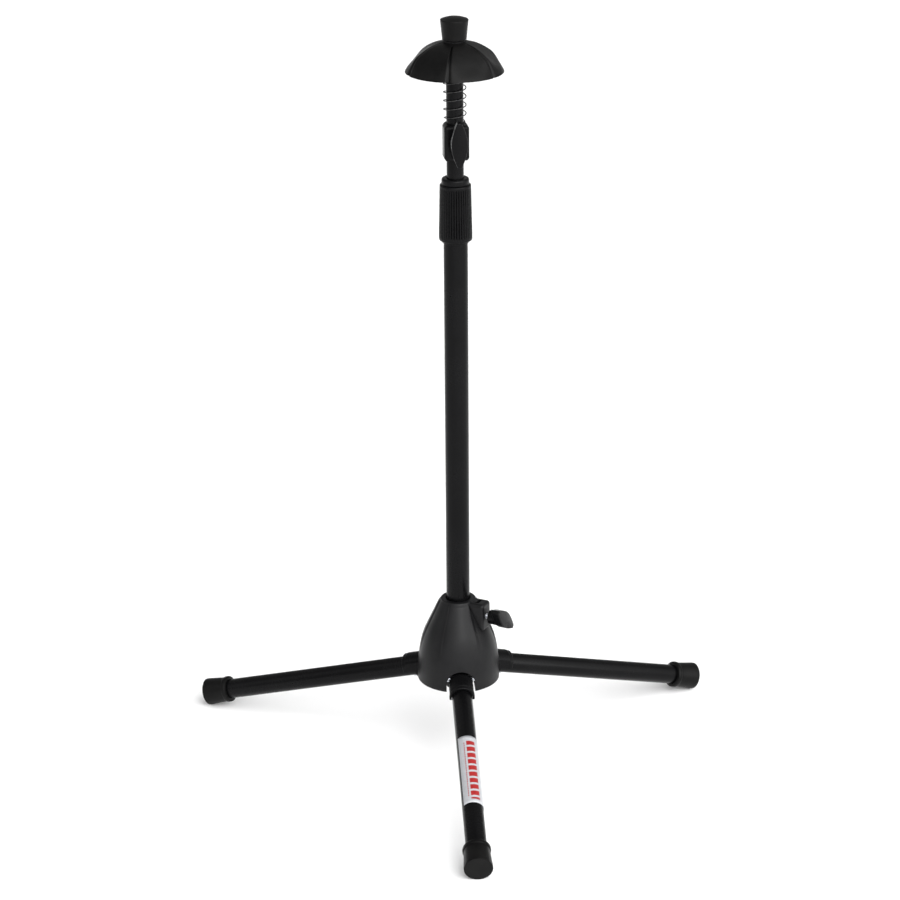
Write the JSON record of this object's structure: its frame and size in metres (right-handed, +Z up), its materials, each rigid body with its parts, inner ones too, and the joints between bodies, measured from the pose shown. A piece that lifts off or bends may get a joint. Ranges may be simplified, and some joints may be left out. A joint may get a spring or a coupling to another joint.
{
  "type": "brass instrument stand",
  "caption": "Folding tripod stand with a telescoping mast and a sprung, lobed rubber cushion that holds a trumpet or trombone by its bell.",
  "frame": {"origin": "middle of the footprint's bounding box, on the floor; the pole's axis stands behind it in +Y", "axes": "+Z up along the pole; the front leg points towards -Y"},
  "size_m": [0.4946, 0.3957, 0.7122],
  "materials": {
    "moulded": "moulded black nylon, satin",
    "powder_coat": "black powder coat on steel tube, semi-matte",
    "rubber": "matte black rubber",
    "zinc_steel": "bright zinc-plated steel",
    "spring_steel": "dark oiled spring wire",
    "printed_label": "white vinyl sticker with plain red bars"
  },
  "bodies": {
    "hub": {"hub_shell": "moulded", "hub_nut": "zinc_steel", "leg_pin_1": "zinc_steel", "leg_pin_2": "zinc_steel", "leg_pin_3": "zinc_steel"},
    "hub_clamp": {"hub_knob": "moulded", "hub_screw": "zinc_steel"},
    "pole": {"pole_tube": "powder_coat", "pole_foot": "moulded", "clutch_base": "moulded", "clutch_collet": "moulded"},
    "clutch_nut": {"clutch_grip": "moulded"},
    "mast": {"mast_tube": "powder_coat", "mast_foot": "moulded", "top_plug": "rubber"},
    "collar": {"collar_body": "moulded", "collar_nut": "zinc_steel", "bell_spring": "spring_steel"},
    "collar_clamp": {"collar_knob": "moulded", "collar_screw": "zinc_steel"},
    "cushion": {"bell_cushion": "rubber", "cushion_core": "moulded"},
    "leg_1": {"leg_socket_1": "moulded", "leg_tube_1": "powder_coat", "leg_rivet_1": "zinc_steel", "leg_cap_1": "rubber", "leg_label": "printed_label"},
    "leg_2": {"leg_socket_2": "moulded", "leg_tube_2": "powder_coat", "leg_rivet_2": "zinc_steel", "leg_cap_2": "rubber"},
    "leg_3": {"leg_socket_3": "moulded", "leg_tube_3": "powder_coat", "leg_rivet_3": "zinc_steel", "leg_cap_3": "rubber"}
  },
  "joints": [
    {"name": "leg_1_fold", "type": "hinge", "parent": "hub", "child": "leg_1", "pos_m": [0, 0.04528, 0.08365], "axis": [1, 0, 0], "range_deg": [0, 71]},
    {"name": "leg_2_fold", "type": "hinge", "parent": "hub", "child": "leg_2", "pos_m": [0.02442, 0.0838, 0.08365], "axis": [-0.4266, 0.9045, 0], "range_deg": [0, 71]},
    {"name": "leg_3_fold", "type": "hinge", "parent": "hub", "child": "leg_3", "pos_m": [-0.02442, 0.0838, 0.08365], "axis": [-0.4266, -0.9045, 0], "range_deg": [0, 71]},
    {"name": "hub_knob_turn", "type": "hinge", "parent": "hub", "child": "hub_clamp", "pos_m": [0.02598, 0.05728, 0.14235], "axis": [0.866, -0.5, 0], "range_deg": [0, 360]},
    {"name": "pole_height", "type": "slide", "parent": "hub", "child": "pole", "axis": [0, 0, 1], "range_m": [-0.19, 0]},
    {"name": "clutch_turn", "type": "hinge", "parent": "pole", "child": "clutch_nut", "pos_m": [0, 0.07228, 0.50795], "axis": [0, 0, 1], "range_deg": [0, 150]},
    {"name": "mast_height", "type": "slide", "parent": "pole", "child": "mast", "axis": [0, 0, 1], "range_m": [-0.008, 0.38]},
    {"name": "collar_height", "type": "slide", "parent": "mast", "child": "collar", "axis": [0, 0, 1], "range_m": [-0.009, 0]},
    {"name": "collar_knob_turn", "type": "hinge", "parent": "collar", "child": "collar_clamp", "pos_m": [0.00096, 0.05852, 0.60335], "axis": [0.0698, -0.9976, 0], "range_deg": [0, 360]},
    {"name": "cushion_spring", "type": "slide", "parent": "collar", "child": "cushion", "axis": [0, 0, 1], "range_m": [-0.02, 0], "stiffness_N_per_m": 1200, "springref_m": 0.004, "deforming": ["bell_spring"]}
  ]
}
